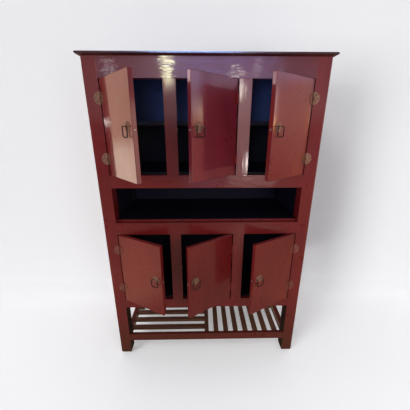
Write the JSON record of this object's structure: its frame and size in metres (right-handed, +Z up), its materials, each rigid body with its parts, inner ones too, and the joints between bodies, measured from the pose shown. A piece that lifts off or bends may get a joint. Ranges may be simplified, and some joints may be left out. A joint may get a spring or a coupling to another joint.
{
  "type": "six-door cabinet",
  "caption": "Tall red lacquer cabinet with hinged doors in an upper and a lower row, an open niche between them and a slatted shelf below, with brass hinges and bail pulls.",
  "frame": {"origin": "on the floor below the middle of the bounding box of the cabinet as it stands, doors ajar", "axes": "+X to the viewer's right, +Y from the doors to the back, +Z up"},
  "size_m": [1.196, 0.6822, 1.791],
  "materials": {
    "red_lacquer": "gloss deep red lacquer over wood",
    "door_lacquer": "gloss deep red lacquer",
    "top_lacquer": "gloss deep red lacquer",
    "slat_lacquer": "gloss red lacquer",
    "side_lacquer": "red lacquer outside, dark inside",
    "dark_lacquer": "dark brown black lacquer",
    "hinge_brass": "aged brass",
    "pull_bronze": "dark bronze patina",
    "catch_brass": "polished brass",
    "ball_steel": "polished steel ball"
  },
  "bodies": {
    "carcass": {"top_board": "top_lacquer", "front_left_post": "red_lacquer", "front_right_post": "red_lacquer", "back_left_post": "red_lacquer", "back_right_post": "red_lacquer", "front_stretcher": "red_lacquer", "front_bottom_rail": "red_lacquer", "front_lower_rail": "red_lacquer", "front_upper_rail": "red_lacquer", "front_top_rail": "red_lacquer", "back_rails": "red_lacquer", "side_rails": "red_lacquer", "back_panels": "dark_lacquer", "side_panels": "side_lacquer", "mullions": "red_lacquer", "upper_deck": "dark_lacquer", "niche_deck": "dark_lacquer", "lower_deck": "dark_lacquer", "upper_shelf": "dark_lacquer", "shelf_battens": "dark_lacquer", "shelf_slats": "slat_lacquer", "hinge_frame_leaves": "hinge_brass", "hinge_pins": "hinge_brass", "catch_strikes": "catch_brass"},
    "upper_left_door": {"upper_left_door": "door_lacquer", "upper_left_hinge_leaves": "hinge_brass", "upper_left_pull_plate": "pull_bronze", "upper_left_catch_barrel": "catch_brass"},
    "upper_left_pull_bail": {"upper_left_pull_bail": "pull_bronze"},
    "upper_left_catch_ball": {"upper_left_catch_ball": "ball_steel"},
    "upper_middle_door": {"upper_middle_door": "door_lacquer", "upper_middle_hinge_leaves": "hinge_brass", "upper_middle_pull_plate": "pull_bronze", "upper_middle_catch_barrel": "catch_brass"},
    "upper_middle_pull_bail": {"upper_middle_pull_bail": "pull_bronze"},
    "upper_middle_catch_ball": {"upper_middle_catch_ball": "ball_steel"},
    "upper_right_door": {"upper_right_door": "door_lacquer", "upper_right_hinge_leaves": "hinge_brass", "upper_right_pull_plate": "pull_bronze", "upper_right_catch_barrel": "catch_brass"},
    "upper_right_pull_bail": {"upper_right_pull_bail": "pull_bronze"},
    "upper_right_catch_ball": {"upper_right_catch_ball": "ball_steel"},
    "lower_left_door": {"lower_left_door": "door_lacquer", "lower_left_hinge_leaves": "hinge_brass", "lower_left_pull_plate": "pull_bronze", "lower_left_catch_barrel": "catch_brass"},
    "lower_left_pull_bail": {"lower_left_pull_bail": "pull_bronze"},
    "lower_left_catch_ball": {"lower_left_catch_ball": "ball_steel"},
    "lower_middle_door": {"lower_middle_door": "door_lacquer", "lower_middle_hinge_leaves": "hinge_brass", "lower_middle_pull_plate": "pull_bronze", "lower_middle_catch_barrel": "catch_brass"},
    "lower_middle_pull_bail": {"lower_middle_pull_bail": "pull_bronze"},
    "lower_middle_catch_ball": {"lower_middle_catch_ball": "ball_steel"},
    "lower_right_door": {"lower_right_door": "door_lacquer", "lower_right_hinge_leaves": "hinge_brass", "lower_right_pull_plate": "pull_bronze", "lower_right_catch_barrel": "catch_brass"},
    "lower_right_pull_bail": {"lower_right_pull_bail": "pull_bronze"},
    "lower_right_catch_ball": {"lower_right_catch_ball": "ball_steel"}
  },
  "joints": [
    {"name": "upper_left_door_swing", "type": "hinge", "parent": "carcass", "child": "upper_left_door", "pos_m": [-0.51075, -0.12339, 1.456], "axis": [0, 0, -1], "range_deg": [-48.4, 111.6]},
    {"name": "upper_left_bail_swing", "type": "hinge", "parent": "upper_left_door", "child": "upper_left_pull_bail", "pos_m": [-0.34847, -0.32198, 1.47], "axis": [-0.6639, 0.7478, 0], "range_deg": [-5, 90]},
    {"name": "upper_left_catch_press", "type": "slide", "parent": "upper_left_door", "child": "upper_left_catch_ball", "axis": [-0.6639, 0.7478, 0], "range_m": [0, 0.002], "stiffness_N_per_m": 1500},
    {"name": "upper_middle_door_swing", "type": "hinge", "parent": "carcass", "child": "upper_middle_door", "pos_m": [0.14875, -0.12339, 1.456], "axis": [0, 0, 1], "range_deg": [-42.7, 67.3]},
    {"name": "upper_middle_bail_swing", "type": "hinge", "parent": "upper_middle_door", "child": "upper_middle_pull_bail", "pos_m": [-0.03245, -0.30488, 1.47], "axis": [-0.7349, -0.6782, 0], "range_deg": [-5, 90]},
    {"name": "upper_middle_catch_press", "type": "slide", "parent": "upper_middle_door", "child": "upper_middle_catch_ball", "axis": [0.7349, 0.6782, 0], "range_m": [0, 0.002], "stiffness_N_per_m": 1500},
    {"name": "upper_right_door_swing", "type": "hinge", "parent": "carcass", "child": "upper_right_door", "pos_m": [0.51075, -0.12339, 1.456], "axis": [0, 0, 1], "range_deg": [-37.5, 122.5]},
    {"name": "upper_right_bail_swing", "type": "hinge", "parent": "upper_right_door", "child": "upper_right_pull_bail", "pos_m": [0.31384, -0.28771, 1.47], "axis": [-0.7934, -0.6088, 0], "range_deg": [-5, 90]},
    {"name": "upper_right_catch_press", "type": "slide", "parent": "upper_right_door", "child": "upper_right_catch_ball", "axis": [0.7934, 0.6088, 0], "range_m": [0, 0.002], "stiffness_N_per_m": 1500},
    {"name": "lower_left_door_swing", "type": "hinge", "parent": "carcass", "child": "lower_left_door", "pos_m": [-0.51075, -0.12339, 0.663], "axis": [0, 0, -1], "range_deg": [-28.5, 131.5]},
    {"name": "lower_left_bail_swing", "type": "hinge", "parent": "lower_left_door", "child": "lower_left_pull_bail", "pos_m": [-0.29056, -0.25489, 0.677], "axis": [-0.8788, 0.4772, 0], "range_deg": [-5, 90]},
    {"name": "lower_left_catch_press", "type": "slide", "parent": "lower_left_door", "child": "lower_left_catch_ball", "axis": [-0.8788, 0.4772, 0], "range_m": [0, 0.002], "stiffness_N_per_m": 1500},
    {"name": "lower_middle_door_swing", "type": "hinge", "parent": "carcass", "child": "lower_middle_door", "pos_m": [0.14875, -0.12339, 0.663], "axis": [0, 0, 1], "range_deg": [-33.6, 76.4]},
    {"name": "lower_middle_bail_swing", "type": "hinge", "parent": "lower_middle_door", "child": "lower_middle_pull_bail", "pos_m": [-0.05887, -0.27394, 0.677], "axis": [-0.8329, -0.5534, 0], "range_deg": [-5, 90]},
    {"name": "lower_middle_catch_press", "type": "slide", "parent": "lower_middle_door", "child": "lower_middle_catch_ball", "axis": [0.8329, 0.5534, 0], "range_m": [0, 0.002], "stiffness_N_per_m": 1500},
    {"name": "lower_right_door_swing", "type": "hinge", "parent": "carcass", "child": "lower_right_door", "pos_m": [0.51075, -0.12339, 0.663], "axis": [0, 0, 1], "range_deg": [-28.5, 131.5]},
    {"name": "lower_right_bail_swing", "type": "hinge", "parent": "lower_right_door", "child": "lower_right_pull_bail", "pos_m": [0.29056, -0.25489, 0.677], "axis": [-0.8788, -0.4772, 0], "range_deg": [-5, 90]},
    {"name": "lower_right_catch_press", "type": "slide", "parent": "lower_right_door", "child": "lower_right_catch_ball", "axis": [0.8788, 0.4772, 0], "range_m": [0, 0.002], "stiffness_N_per_m": 1500}
  ]
}
